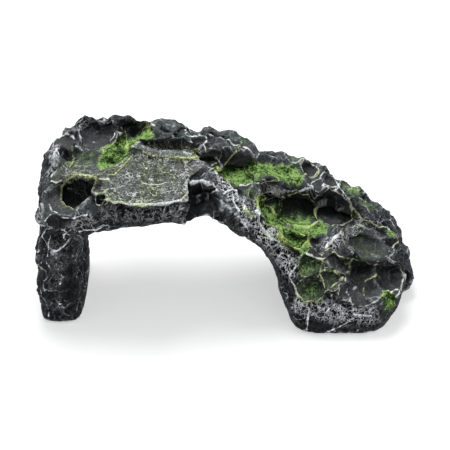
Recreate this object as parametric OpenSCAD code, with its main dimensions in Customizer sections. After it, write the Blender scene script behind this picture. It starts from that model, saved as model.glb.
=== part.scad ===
/* [Arch] */
// Overall length, left foot to right foot
arch_length = 240; // [210:5:270]
// Overall depth, front to back
arch_depth = 116; // [104:4:132]
// Height of the rock ridge above the ground
arch_height = 102; // [94:2:112]
// Facets along the arch
along_steps = 54; // [44:2:56]
// Facets round the section
around_steps = 32; // [28:4:32]

/* [Moss] */
// Thickness of a moss patch at its middle
moss_thickness = 1.6; // [1.2:0.2:2]

/* [Foot pads] */
// Thickness of the self-adhesive foam pads
pad_thickness = 1.5; // [1:0.5:3]
// Diameter of a pad
pad_diameter = 14; // [10:1:16]

/* [Hidden] */
half_l = arch_length / 2;
half_d = arch_depth / 2;
// The middle of the finished outline on the ground, as shares. The part's origin is under it.
MIDDLE = [0.021, -0.145];
module centred() translate([-half_l * MIDDLE[0], -half_d * MIDDLE[1], 0]) children();
foot_z = pad_thickness / arch_height;

// Stations from the left foot, over the crown, to the right foot. x is a share of half the length,
// y of half the depth and z of the height.
// [inner x, inner z, front outer x, front outer z, back outer x, back outer z, front y, back y]
STATIONS = [
    [-0.74, foot_z, -0.97, foot_z, -0.93, foot_z, -0.88, 0.46],
    [-0.75, 0.14, -0.98, 0.18, -0.94, 0.20, -0.88, 0.50],
    [-0.76, 0.30, -0.97, 0.38, -0.94, 0.44, -0.88, 0.52],
    [-0.735, 0.46, -0.94, 0.60, -0.98, 0.74, -0.88, 0.50],
    [-0.67, 0.585, -0.93, 0.78, -0.92, 0.93, -0.88, 0.58],
    [-0.56, 0.64, -0.74, 0.83, -0.74, 0.96, -0.90, 0.78],
    [-0.38, 0.655, -0.48, 0.84, -0.47, 0.95, -0.92, 0.80],
    [-0.20, 0.68, -0.20, 0.84, -0.20, 0.90, -0.90, 0.80],
    [-0.04, 0.675, 0.04, 0.79, 0.06, 0.85, -0.82, 0.80],
    [0.11, 0.53, 0.28, 0.63, 0.36, 0.73, -0.80, 0.78],
    [0.23, 0.36, 0.50, 0.48, 0.665, 0.585, -0.88, 0.76],
    [0.28, 0.18, 0.90, 0.26, 0.96, 0.31, -1.06, 0.72],
    [0.33, foot_z, 0.84, foot_z, 0.97, foot_z, -1.11, 0.56],
];
last = len(STATIONS) - 1;
// Roundness of the section: 2 is an ellipse, and a large number is a rectangle
squareness = 4.5;

// A smooth curve from b to c, led by a and d (Catmull-Rom)
function spline(a, b, c, d, t) =
    0.5 * (2 * b + (c - a) * t + (2 * a - 5 * b + 4 * c - d) * t * t + (3 * b - a - 3 * c + d) * t * t * t);
function row(i) = STATIONS[max(0, min(last, i))];
// The station row at s, where s runs from 0 at the left foot to 1 at the right foot
function station(s) =
    let (f = s * last, i = min(last - 1, floor(f)))
    spline(row(i - 1), row(i), row(i + 1), row(i + 2), f - i);

// A point of the unit square's outline. t runs 0 to 4: front, outer, back and inner side.
function square_point(t) =
    let (side = floor(t) % 4, f = 2 * (t - floor(t)) - 1)
    side == 0 ? [-1, f] : side == 1 ? [f, 1] : side == 2 ? [1, -f] : [-f, -1];
function rounded(p, n) = p / pow(pow(abs(p[0]), n) + pow(abs(p[1]), n), 1 / n);

// A point of the smooth rock face: s along the arch, t round its section
function face(s, t) =
    let (
        q = station(s),
        c = rounded(square_point(t), squareness),
        y = (q[6] + q[7]) / 2 + c[0] * (q[7] - q[6]) / 2,
        back = (c[0] + 1) / 2,
        out = (c[1] + 1) / 2,
        outer_x = q[2] + (q[4] - q[2]) * back,
        outer_z = q[3] + (q[5] - q[3]) * back
    )
    [
        half_l * (q[0] + (outer_x - q[0]) * out),
        half_d * y,
        arch_height * (q[1] + (outer_z - q[1]) * out)
    ];

function unit(v) = v / norm(v);
// The outward direction of the face
function outward(s, t) =
    let (
        ds = 0.004,
        dt = 0.03,
        along = face(min(1, s + ds), t) - face(max(0, s - ds), t),
        round = face(s, t + dt) - face(s, t - dt + 4)
    )
    unit(cross(along, round));

// Low knobs and dips of the cast surface, in millimetres
function lumps(p) =
    1.2 * sin(p[0] * 5.1 + p[1] * 3.3 + 40) * sin(p[1] * 4.7 - p[2] * 3.9)
    + 0.9 * sin(p[2] * 7.3 + p[0] * 4.4 + 110) * cos(p[1] * 8.1 + p[0] * 2.2);
function craggy(s, t) =
    let (p = face(s, t), fade = min(1, 12 * min(s, 1 - s)))
    p + outward(s, t) * lumps(p) * fade;

// Hollows worn in the rock: [s in percent, t, rim radius, depth]
LEG_PIT = [26.5, 0.55, 6, 2];
SMALL_HOLLOWS = [
    LEG_PIT,
    [45.5, 1.03, 3, 2.5],
    [53.5, 1.29, 7.5, 1.8],
    [61, 1.76, 4.5, 3],
    [78.5, 1.84, 6.5, 2.5],
    [80, 1.72, 6, 2],
    [82, 1.82, 6, 2],
    [78.2, 0.76, 5, 4],
    [82, 1.10, 3.5, 2.5],
    [83.5, 0.74, 7.5, 4],
    [85.5, 0.98, 7.5, 4],
    [87, 0.70, 6, 3.5],
    [88.3, 0.38, 7.5, 4],
    [94.5, 1.36, 5, 4],
];
LEFT_BOWL = [39.2, 1.11, 15, 6];
LEFT_LOBE = [36.4, 1.14, 8, 4.5];
LEFT_CRATER = [41.4, 1.16, 10, 9];
RECESS = [43.8, 1.74, 12, 5];
BASIN = [43.2, 1.44, 12, 3];
ROUND_PIT = [62, 1.55, 7, 8];
SADDLE_HOLLOW = [67, 1.46, 11, 8];
CRATER_LEFT = [74.6, 1.23, 15.5, 10];
CRATER_MIDDLE = [79.5, 1.33, 18, 12];
CRATER_RIGHT = [84, 1.48, 13, 11];
SUB_CRATER = [78.6, 1.02, 10, 6];
SHALLOW_CRATER = [88, 1.32, 15, 4];
FOOT_CRATER_LEFT = [89, 0.98, 14.5, 6];
FOOT_CRATER_RIGHT = [91.4, 1.12, 12, 5];
FOOT_SPOT = [92.6, 0.95, 6.5, 3];
HOLLOWS = [
    LEFT_BOWL, LEFT_LOBE, LEFT_CRATER, RECESS, BASIN, ROUND_PIT, SADDLE_HOLLOW, CRATER_LEFT, CRATER_MIDDLE,
    CRATER_RIGHT, SUB_CRATER, SHALLOW_CRATER, FOOT_CRATER_LEFT, FOOT_CRATER_RIGHT, FOOT_SPOT,
];
// Long troughs: two ends, each a hollow
GULLY = [[50.5, 1.84, 7, 5], [46.5, 1.48, 7, 4]];
SLOPE = [[70.5, 1.60, 8, 4], [75.5, 1.70, 7, 3]];

function bowl_radius(h) = (h[2] * h[2] + h[3] * h[3]) / (2 * h[3]);
// The centre of the ball that wears hollow h to its depth
function bowl_centre(h) =
    face(h[0] / 100, h[1]) + outward(h[0] / 100, h[1]) * (bowl_radius(h) - h[3]);
module ball(h, spare = 0, facets = 26) {
    translate(bowl_centre(h)) sphere(bowl_radius(h) + spare, $fn = facets);
}
module trough(ends, spare = 0) {
    hull() for (h = ends) ball(h, spare);
}

// Boulders that stand proud of the ridge and the feet: two ends, each [x, y, z, radius].
// x, y and z are shares, and the radius is in millimetres.
BOULDERS = [
    [[-0.90, -0.84, 0.74, 6], [-0.91, -0.70, 0.76, 5]],
    [[-0.89, -0.14, 0.86, 8], [-0.87, 0.16, 0.87, 10]],
    [[-0.80, 0.46, 0.89, 9], [-0.69, 0.62, 0.91, 10]],
    [[-0.60, 0.66, 0.91, 9], [-0.50, 0.66, 0.90, 8]],
    [[-0.38, 0.64, 0.88, 8], [-0.24, 0.64, 0.85, 9]],
    [[-0.10, 0.64, 0.82, 9], [0.04, 0.62, 0.78, 10]],
    [[0.38, 0.58, 0.61, 10], [0.48, 0.58, 0.58, 10]],
    [[0.66, 0.50, 0.43, 11], [0.72, 0.46, 0.40, 11]],
    [[0.905, -0.20, 0.13, 12], [0.89, 0.20, 0.18, 10]],
    [[0.48, -0.93, 0.15, 11], [0.64, -0.92, 0.16, 12]],
    [[0.06, -0.56, 0.68, 10], [0.13, -0.54, 0.60, 10]],
    [[-0.32, -0.78, 0.75, 7], [-0.22, -0.80, 0.74, 7]],
];
function place(p) = [half_l * p[0], half_d * p[1], arch_height * p[2]];
function mix(a, b, t) = a + (b - a) * t;
// An uneven lump from one end to the other: a hull round a few balls that wander off the line
module boulder(ends, seed = 1) {
    steps = 5;
    hull() for (i = [0:steps]) {
        r = mix(ends[0][3], ends[1][3], i / steps);
        wander = rands(-0.35, 0.35, 3, seed * 10 + i);
        translate(mix(place(ends[0]), place(ends[1]), i / steps) + r * wander) sphere(0.87 * r, $fn = 10);
    }
}

module rock_body() {
    n = around_steps;
    points = [
        for (i = [0:along_steps]) for (j = [0:n - 1])
            craggy(i / along_steps, 4 * j / n)
    ];
    skin = [
        for (i = [0:along_steps - 1]) for (j = [0:n - 1])
            let (a = i * n + j, b = i * n + (j + 1) % n, c = b + n, d = a + n)
            each [[a, c, d], [a, b, c]]
    ];
    left_foot = [[for (j = [n - 1:-1:0]) j]];
    right_foot = [[for (j = [0:n - 1]) along_steps * n + j]];
    polyhedron(points, concat(skin, left_foot, right_foot));
}

// Flat plates of rock that lie on the crown, as shares of half the length and half the depth
LOWER_PLATE = [
    [-0.79, -0.30], [-0.72, 0.00], [-0.50, 0.10], [-0.30, 0.04], [-0.17, -0.02], [-0.10, -0.20],
    [-0.19, -0.50], [-0.18, -0.86], [-0.28, -0.92], [-0.41, -0.97], [-0.47, -0.93], [-0.62, -0.84],
    [-0.70, -0.60],
];
UPPER_PLATE = [
    [-0.52, 0.04], [-0.50, 0.20], [-0.40, 0.28], [-0.26, 0.26], [-0.12, 0.10], [-0.13, -0.04],
    [-0.30, 0.02], [-0.44, 0.00],
];
// How far a plate stands above the crown, and how thick it is
plate_rise = 2.2;
plate_thickness = 7;
crown_front = face(0.5, 1.1);
crown_back = face(0.5, 1.8);
crown_tilt = atan((crown_back[2] - crown_front[2]) / (crown_back[1] - crown_front[1]));
module plate(outline, rise) {
    translate([0, 0, crown_front[2] - crown_front[1] * tan(crown_tilt) + rise])
        rotate([crown_tilt, 0, 0])
            translate([0, 0, -plate_thickness])
                linear_extrude(plate_thickness)
                    polygon([for (p = outline) [half_l * p[0], half_d * p[1]]]);
}

// The dark recess in the front, beside the plate
FRONT_RECESS = [[-0.10, -0.92, 0.72, 12], [-0.06, -0.86, 0.86, 11]];

// The open-bottomed pocket in the heavy right foot, which saves resin, and the hole that lets its air out
CORE = [[0.62, -0.12, 0.00, 20], [0.60, 0.02, 0.24, 15]];
vent_diameter = 4;
module core_pocket() {
    hull() for (e = CORE) translate(place(e)) sphere(e[3], $fn = 24);
    translate(place(CORE[1]))
        rotate([-90, 0, 0]) cylinder(h = arch_depth, d = vent_diameter, $fn = 16);
}

module rock_arch() {
    color("dimgray") centred()
    difference() {
        union() {
            rock_body();
            for (i = [0:len(BOULDERS) - 1]) boulder(BOULDERS[i], i + 1);
            plate(LOWER_PLATE, plate_rise);
            plate(UPPER_PLATE, 2.5 * plate_rise);
        }
        for (h = HOLLOWS) ball(h);
        for (h = SMALL_HOLLOWS) ball(h, facets = 18);
        trough(GULLY);
        trough(SLOPE);
        boulder(FRONT_RECESS);
        core_pocket();
    }
}

// The glue line under a moss patch
glue_gap = 0.2;
// How far up its bowl a moss patch reaches, as a share of the bowl's depth
MOSS_REACH = 0.8;
moss_facets = 96;
trough_facets = 48;
// The ball that shapes the upper face of the moss in hollow h, so that the moss thins out to its edge
function moss_edge(h, reach) =
    let (r = bowl_radius(h) - glue_gap, e = reach * h[3])
    r * r - (r - e) * (r - e);
function moss_top_radius(h, reach) =
    let (rise = reach * h[3] - moss_thickness)
    (moss_edge(h, reach) + rise * rise) / (2 * rise);
module moss_top(h, reach, facets = moss_facets) {
    lift = moss_thickness + moss_top_radius(h, reach) - bowl_radius(h) + glue_gap;
    translate(bowl_centre(h) + outward(h[0] / 100, h[1]) * lift)
        sphere(moss_top_radius(h, reach), $fn = facets);
}
// Flocked moss in the bottom of a round hollow, clear of the hollows that run into it
module bowl_moss(h, neighbours = [], reach = MOSS_REACH) {
    color("olivedrab") centred()
    difference() {
        ball(h, -glue_gap, moss_facets);
        moss_top(h, reach);
        for (o = neighbours) ball(o, glue_gap, moss_facets);
    }
}
module trough_moss(ends, neighbours = []) {
    color("olivedrab") centred()
    difference() {
        trough(ends, -glue_gap);
        hull() for (h = ends) moss_top(h, MOSS_REACH, trough_facets);
        for (o = neighbours) ball(o, glue_gap);
    }
}

module gully_moss() trough_moss(GULLY, [RECESS, BASIN]);
module saddle_hollow_moss() bowl_moss(SADDLE_HOLLOW, [SLOPE[0]]);
module saddle_slope_moss() trough_moss(SLOPE, [SADDLE_HOLLOW]);
module crater_left_moss() bowl_moss(CRATER_LEFT, [CRATER_MIDDLE, SUB_CRATER]);
module crater_middle_moss() bowl_moss(CRATER_MIDDLE, [CRATER_LEFT, CRATER_RIGHT, SUB_CRATER], 0.5);
module sub_crater_moss() bowl_moss(SUB_CRATER, [CRATER_MIDDLE, CRATER_LEFT]);
module foot_crater_moss() bowl_moss(FOOT_SPOT, [FOOT_CRATER_RIGHT], 0.9);

// Self-adhesive pads that keep the rock off the tank's glass: [x, y] as shares
module pad(spot) {
    color("darkslategray") centred()
    translate([half_l * spot[0], half_d * spot[1], 0])
        cylinder(h = pad_thickness, d = pad_diameter, $fn = 48);
}
module left_front_pad() pad([-0.86, -0.60]);
module left_rear_pad() pad([-0.845, 0.18]);
module right_front_pad() pad([0.58, -0.80]);
module right_outer_pad() pad([0.85, -0.14]);
module right_rear_pad() pad([0.64, 0.36]);

rock_arch();
gully_moss();
saddle_hollow_moss();
saddle_slope_moss();
crater_left_moss();
crater_middle_moss();
sub_crater_moss();
foot_crater_moss();
left_front_pad();
left_rear_pad();
right_front_pad();
right_outer_pad();
right_rear_pad();
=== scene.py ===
import math

import bmesh
import bpy
import numpy as np
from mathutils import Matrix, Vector
from mathutils.bvhtree import BVHTree
from mathutils.kdtree import KDTree


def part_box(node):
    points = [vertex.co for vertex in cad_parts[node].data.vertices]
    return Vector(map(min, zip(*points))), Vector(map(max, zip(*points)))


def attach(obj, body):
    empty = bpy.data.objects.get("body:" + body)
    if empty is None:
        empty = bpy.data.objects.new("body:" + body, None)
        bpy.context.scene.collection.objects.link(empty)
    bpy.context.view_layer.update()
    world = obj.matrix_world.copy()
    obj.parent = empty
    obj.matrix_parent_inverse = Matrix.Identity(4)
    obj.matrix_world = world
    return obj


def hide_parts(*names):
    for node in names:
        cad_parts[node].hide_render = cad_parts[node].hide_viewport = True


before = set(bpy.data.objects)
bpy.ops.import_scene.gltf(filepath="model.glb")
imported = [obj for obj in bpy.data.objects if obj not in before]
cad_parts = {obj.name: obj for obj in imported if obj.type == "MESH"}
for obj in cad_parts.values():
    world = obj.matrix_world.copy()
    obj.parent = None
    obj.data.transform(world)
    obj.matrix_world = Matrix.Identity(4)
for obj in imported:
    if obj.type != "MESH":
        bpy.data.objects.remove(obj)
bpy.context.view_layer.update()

MM = 0.001
ROCK_LOW, ROCK_HIGH = (np.array(corner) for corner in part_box("rock_arch"))
ROCK_SIZE = ROCK_HIGH - ROCK_LOW
MOSS_NODES = sorted(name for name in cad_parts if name.endswith("_moss"))
PAD_NODES = sorted(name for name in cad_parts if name.endswith("_pad"))

VOXEL = 0.85 * MM


# ---------------------------------------------------------------- mesh helpers

def positions(mesh):
    co = np.empty(len(mesh.vertices) * 3, np.float32)
    mesh.vertices.foreach_get("co", co)
    return co.reshape(-1, 3).astype(float)


def set_positions(mesh, co):
    mesh.vertices.foreach_set("co", co.astype(np.float32).ravel())
    mesh.update()


def normals(mesh):
    no = np.empty(len(mesh.vertices) * 3, np.float32)
    mesh.vertex_normals.foreach_get("vector", no)
    return no.reshape(-1, 3).astype(float)


def edge_pairs(mesh):
    ends = np.empty(len(mesh.edges) * 2, np.int32)
    mesh.edges.foreach_get("vertices", ends)
    return ends.reshape(-1, 2)


class Smoother:
    """Averages values over a mesh's edges."""

    def __init__(self, mesh):
        self.pairs = edge_pairs(mesh)
        self.count = len(mesh.vertices)
        self.degree = np.bincount(self.pairs.ravel(), minlength=self.count).astype(float)

    def mean(self, values):
        a, b = self.pairs.T
        total = np.bincount(a, values[b], self.count) + np.bincount(b, values[a], self.count)
        return total / self.degree

    def spread(self, values, rounds):
        values = values.copy()
        for _ in range(rounds):
            if values.ndim == 1:
                values = 0.5 * values + 0.5 * self.mean(values)
            else:
                values = np.stack([0.5 * c + 0.5 * self.mean(c) for c in values.T], 1)
        return values


def store(mesh, name, values):
    kind = "FLOAT" if values.ndim == 1 else "FLOAT_VECTOR"
    layer = mesh.attributes.new(name, kind, "POINT")
    key = "value" if values.ndim == 1 else "vector"
    layer.data.foreach_set(key, values.astype(np.float32).ravel())


def smoothstep(low, high, x):
    t = np.clip((x - low) / (high - low), 0, 1)
    return t * t * (3 - 2 * t)


def new_piece(name, mesh):
    piece = bpy.data.objects.new(name, mesh)
    bpy.context.scene.collection.objects.link(piece)
    return piece


def finished_piece(name, mesh, material, node):
    """Puts a smooth-shaded mesh on the part's body, in place of a CAD node."""
    mesh.polygons.foreach_set("use_smooth", np.ones(len(mesh.polygons), bool))
    mesh.materials.append(material)
    piece = new_piece(name, mesh)
    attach(piece, "root")
    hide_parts(node)


# ---------------------------------------------------------------- patterns

def field(co, pattern, **values):
    """Samples a texture node at each point, in millimetres of pattern space."""
    tree = bpy.data.node_groups.new("sample", "GeometryNodeTree")
    tree.interface.new_socket("Geometry", in_out="INPUT", socket_type="NodeSocketGeometry")
    tree.interface.new_socket("Geometry", in_out="OUTPUT", socket_type="NodeSocketGeometry")
    source, sink = tree.nodes.new("NodeGroupInput"), tree.nodes.new("NodeGroupOutput")
    keep = tree.nodes.new("GeometryNodeStoreNamedAttribute")
    keep.domain = "POINT"
    keep.inputs["Name"].default_value = "sample"
    place = tree.nodes.new("GeometryNodeInputPosition")
    result = pattern(tree, place.outputs[0], **values)
    tree.links.new(source.outputs[0], keep.inputs["Geometry"])
    tree.links.new(result, keep.inputs["Value"])
    tree.links.new(keep.outputs[0], sink.inputs[0])
    mesh = bpy.data.meshes.new("sample")
    mesh.vertices.add(len(co))
    set_positions(mesh, co / MM)
    holder = new_piece("sample", mesh)
    holder.modifiers.new("sample", "NODES").node_group = tree
    shown = holder.evaluated_get(bpy.context.evaluated_depsgraph_get()).data
    out = np.empty(len(co), np.float32)
    shown.attributes["sample"].data.foreach_get("value", out)
    bpy.data.objects.remove(holder)
    bpy.data.meshes.remove(mesh)
    bpy.data.node_groups.remove(tree)
    return out.astype(float)


def link(tree, source, socket):
    """Joins a socket or sets a plain value."""
    if isinstance(source, (int, float, tuple)):
        socket.default_value = source
    else:
        tree.links.new(source, socket)


def math_node(tree, kind, a, b=0.0, clamp=False):
    node = tree.nodes.new("ShaderNodeMath")
    node.operation, node.use_clamp = kind, clamp
    for value, socket in zip((a, b), node.inputs):
        link(tree, value, socket)
    return node.outputs[0]


def vector_node(tree, kind, a, b=(0.0, 0.0, 0.0), scale=None):
    node = tree.nodes.new("ShaderNodeVectorMath")
    node.operation = kind
    link(tree, a, node.inputs[0])
    link(tree, b, node.inputs[1])
    if scale is not None:
        link(tree, scale, node.inputs["Scale"])
    return node.outputs[0]


def map_range(tree, value, low, high, to_low=0.0, to_high=1.0):
    node = tree.nodes.new("ShaderNodeMapRange")
    node.interpolation_type = "SMOOTHSTEP"
    for source, socket in zip((value, low, high, to_low, to_high), node.inputs):
        link(tree, source, socket)
    return node.outputs[0]


def noise(tree, place, size, detail=2.0, rough=0.5, output="Fac", seed=0.0):
    """Noise with features of about the given size in millimetres."""
    node = tree.nodes.new("ShaderNodeTexNoise")
    node.noise_dimensions = "4D"
    link(tree, place, node.inputs["Vector"])
    node.inputs["W"].default_value = seed
    node.inputs["Scale"].default_value = 1.0 / size
    node.inputs["Detail"].default_value = detail
    node.inputs["Roughness"].default_value = rough
    return node.outputs[output]


def warped(tree, place, size, amount, seed=0.0):
    """Place moved about by noise, so that a pattern on it wanders."""
    cloud = noise(tree, place, size, 3.0, 0.5, "Color", seed)
    shift = vector_node(tree, "SUBTRACT", cloud, (0.5, 0.5, 0.5))
    return vector_node(tree, "ADD", place, vector_node(tree, "SCALE", shift, scale=amount))


def cell_edges(tree, place, size, wander, seed=0.0):
    """Distance in millimetres to the nearest border between cells of about the given size."""
    node = tree.nodes.new("ShaderNodeTexVoronoi")
    node.feature = "DISTANCE_TO_EDGE"
    moved = warped(tree, place, size * 0.8, wander, seed)
    link(tree, vector_node(tree, "ADD", moved, (seed * 17.0, seed * 7.0, seed * 3.0)), node.inputs["Vector"])
    node.inputs["Scale"].default_value = 1.0 / size
    return math_node(tree, "MULTIPLY", node.outputs["Distance"], size)


def sample_noise(co, size, detail=2.0, rough=0.5, seed=0.0):
    return field(co, noise, size=size, detail=detail, rough=rough, seed=seed) * 2 - 1


def sample_vectors(co, size, detail, rough, seed):
    """Three noises side by side, to move points about with."""
    return np.stack([sample_noise(co, size, detail, rough, seed + axis) for axis in range(3)], 1)


def sample_edges(co, size, wander, seed=0.0):
    return field(co, cell_edges, size=size, wander=wander, seed=seed)


def crest(distance, width):
    """1 on a line, falling off over the given width."""
    return np.exp(-((distance / width) ** 2))


# ---------------------------------------------------------------- places on the rock

def place(along, back, up):
    """A point in metres, given in percent of the rock's box: along it, back from its front, and up."""
    return ROCK_LOW + ROCK_SIZE * np.array((along, back, up)) / 100


def outline(points, corners):
    """How far inside an outline in percent of length and depth each point is, in millimetres."""
    corners = [place(along, back, 0)[:2] for along, back in corners]
    away, inside = np.full(len(points), np.inf), np.zeros(len(points), bool)
    for start, end in zip(corners, corners[1:] + corners[:1]):
        step, offset = end - start, points[:, :2] - start
        t = np.clip(offset @ step / (step @ step), 0, 1)
        away = np.minimum(away, np.linalg.norm(offset - t[:, None] * step, axis=1))
        crossed = (start[1] > points[:, 1]) != (end[1] > points[:, 1])
        inside ^= crossed & (offset[:, 0] * abs(step[1]) < offset[:, 1] * step[0] * np.sign(step[1]))
    return np.where(inside, away, -away) / MM


# Farthest that a line on the rock is measured from, and a distance beyond everything, in millimetres
REACH = 6.0
FAR = 99.0


class Ground:
    """Measures how near the points of the rock are to places and lines drawn on it."""

    def __init__(self, mesh, co):
        corners = [tuple(p.vertices) for p in mesh.polygons]
        self.tree = BVHTree.FromPolygons([tuple(c) for c in co], corners)
        self.co = co

    def on_rock(self, spot):
        return np.array(self.tree.find_nearest(Vector(place(*spot)))[0])

    def spot(self, centre, radius, soft):
        """1 near a place and 0 beyond a radius in millimetres."""
        away = np.linalg.norm(self.co - self.on_rock(centre), axis=1) / MM
        return 1 - smoothstep((1 - soft) * radius, radius, away)

    def spots(self, table, spread, soft):
        """The strongest of the spots in a table of radius, strength and centre."""
        return np.max([s * self.spot(centre, radius * spread, soft) for radius, s, centre in table], axis=0)

    def line(self, stops, reach=REACH):
        """Distance in millimetres to a line through places on the rock, up to a reach."""
        stops = [self.on_rock(stop) for stop in stops]
        return self.segments(zip(stops, stops[1:]), reach)

    def band(self, stops, width, soft):
        """1 along a line through places on the rock and 0 beyond a width in millimetres."""
        return 1 - smoothstep((1 - soft) * width, width, self.line(stops, width * 1.1))

    def bands(self, table, soft):
        """The strongest of the bands in a table of width, strength and stops."""
        return np.max([s * self.band(stops, width, soft) for width, s, *stops in table], axis=0)

    def segments(self, segments, reach):
        """Distance in millimetres to the nearest of some straight lines, up to a reach."""
        away = np.full(len(self.co), reach)
        for start, end in segments:
            low, high = np.minimum(start, end) - reach * MM, np.maximum(start, end) + reach * MM
            near = np.flatnonzero(((self.co > low) & (self.co < high)).all(1))
            step, offset = end - start, self.co[near] - start
            t = np.clip(offset @ step / (step @ step), 0, 1)
            away[near] = np.minimum(away[near], np.linalg.norm(offset - t[:, None] * step, axis=1) / MM)
        return away

    def bowls(self, bowls):
        """How far inside a bowl each point is, in millimetres, and that bowl's numbers."""
        inside = np.full(len(self.co), -FAR)
        second = np.full(len(self.co), -FAR)
        which = np.zeros(len(self.co), int)
        for number, (radius, *_, centre) in enumerate(bowls):
            reach = radius - np.linalg.norm(self.co - self.on_rock(centre), axis=1) / MM
            second = np.maximum(second, np.minimum(inside, reach))
            which[reach > inside] = number
            inside = np.maximum(inside, reach)
        columns = list(zip(*bowls))[:4]
        return inside - np.maximum(second, 0), *(np.array(column)[which] for column in columns)


# The shallow dimple in the lower plate, in percent, and its radius in millimetres
DIMPLE = (31, 40, 85)
DIMPLE_RADIUS = 14

# Where the lower plate runs out into the basin behind it, in percent
PLATE_EDGE = ((10, 44, 87), (14, 40, 87), (20, 42, 89), (22, 50, 89))

# The thin upper plate on the crown: its corners in percent of length and depth, and in millimetres how far
# it stands above the lower plate
SLAB = (
    (23.5, 64), (26, 59), (29, 56), (32, 54), (36, 52), (42, 52), (40, 58), (37, 63), (33, 66), (29, 70),
    (25, 74), (22.5, 70),
)
SLAB_STEP = 1.2

# The block that carries the lower plate's level on to the right, and how far below the plate it is
BLOCK = ((40, 31), (43, 33), (46, 34), (48, 41), (49, 50), (47, 54), (43, 50), (41, 42))
BLOCK_DROP = 0.7

# Where the lower plate has no edge of its own: against the upper plate and the basin
NO_EDGE = ((0, 30), (24, 34), (25, 50), (30, 50), (40, 44), (40, 30), (50, 30), (50, 100), (0, 100))

# Where the crown's boulders stand behind that plate
BEHIND = (
    (21, 73), (25, 74.5), (29, 70.5), (33, 66.5), (37, 63.5), (40, 59), (42, 54), (46, 56), (46, 90),
    (21, 90),
)

# Rock that the brush left pale: radius in millimetres, strength, and the centre in percent
PALES = (
    (8, 0.9, (28, 64, 90)), (8, 0.9, (34, 59, 90)), (6, 0.8, (39, 56, 90)), (11, 0.8, (34, 84, 95)),
    (9, 0.7, (40, 84, 92)), (10, 0.8, (44, 47, 86)), (10, 0.5, (29, 92, 95)), (12, 0.7, (50, 88, 86)),
    (9, 0.6, (57, 84, 79)), (12, 0.6, (67, 90, 70)), (9, 0.6, (76, 40, 47)), (9, 0.6, (82, 52, 44)),
    (8, 0.5, (60, 52, 71)), (7, 0.6, (5, 50, 92)),
    (9, 0.5, (57, 44, 72)), (12, 0.5, (72, 72, 65)), (14, 0.5, (88, 6, 20)), (8, 0.5, (8, 82, 95)),
)

# Ridges on the cast rock, from the left leg to the right foot: how lime their paint is, their width in
# millimetres, and points in percent
LEFT_RIDGES = (
    (0.4, 1.0, (4, 39, 83), (7, 36, 85), (12, 35, 85), (16, 24, 86), (17, 18, 83), (20, 13, 84)),
    (0.1, 0.8, (3, 31, 81), (5, 20, 78), (9, 12, 75), (15, 11, 76)),
    (0.0, 0.8, (3, 22, 78), (6, 13, 76), (5, 11, 74), (3, 10, 73)),
    (0.0, 0.9, (2, 61, 90), (4, 79, 88), (7, 77, 93), (9, 74, 91)),
    (0.0, 1.3, (6, 57, 95), (5, 50, 94), (5, 47, 88), (4, 43, 84)),
    (0.0, 0.9, (6, 52, 94), (6, 47, 89), (5, 44, 85)),
    (1.0, 0.7, (9, 69, 90), (10, 62, 89), (10, 54, 88), (9, 48, 87)),
    (0.0, 1.0, (17, 17, 82), (21, 13, 84), (25, 11, 84), (29, 9, 84), (33, 10, 84), (38, 13, 85),
     (40, 20, 86)),
    (0.0, 1.0, (8, 83, 97), (11, 88, 99), (16, 93, 95), (19, 86, 98), (19, 77, 91), (14, 79, 88)),
    (0.0, 0.6, (5, 13, 61), (4, 13, 53), (6, 13, 50), (9, 13, 55), (8, 13, 60), (11, 12, 66)),
    (0.0, 0.5, (6, 13, 50), (6, 12, 36), (7, 12, 32), (6, 12, 24)),
    (0.0, 0.5, (4, 13, 52), (3, 13, 43), (4, 13, 35)),
    (0.0, 0.6, (2, 13, 24), (2, 12, 18), (3, 12, 4)),
    (0.0, 0.6, (6, 11, 15), (8, 11, 12), (11, 16, 11)),
    (0.0, 0.8, (12, 13, 63), (16, 11, 67), (19, 10, 69)),
)
CROWN_RIDGES = (
    (1.0, 0.6, (9, 40, 86), (16, 35, 88), (21, 37, 88), (24, 50, 90), (25, 56, 91)),
    (0.9, 0.6, (28, 38, 86), (30, 44, 88), (34, 40, 87), (36, 36, 88)),
    (0.0, 0.5, (35, 10, 84), (36, 10, 77), (38, 10, 74)),
    (0.0, 1.1, (24, 69, 86), (23, 76, 87), (27, 89, 90), (30, 86, 94)),
    (0.1, 0.7, (30, 91, 95), (34, 87, 95), (40, 94, 87), (42, 92, 86)),
    (0.1, 0.7, (35, 82, 91), (38, 87, 89), (42, 87, 87)),
    (0.1, 0.9, (45, 87, 88), (50, 84, 86), (55, 82, 80), (57, 80, 78)),
    (0.9, 0.7, (53, 82, 82), (50, 66, 84), (48, 56, 83)),
    (0.1, 0.8, (42, 49, 90), (44, 60, 84), (48, 54, 83), (48, 56, 79)),
    (0.1, 0.8, (40, 32, 87), (44, 40, 85), (48, 47, 83)),
    (0.4, 0.9, (48, 56, 80), (50, 52, 77), (53, 42, 79), (57, 47, 75), (60, 57, 73)),
    (0.8, 0.8, (60, 57, 73), (63, 63, 69), (67, 77, 67), (70, 76, 66), (73, 81, 62), (76, 92, 61)),
)
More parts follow.
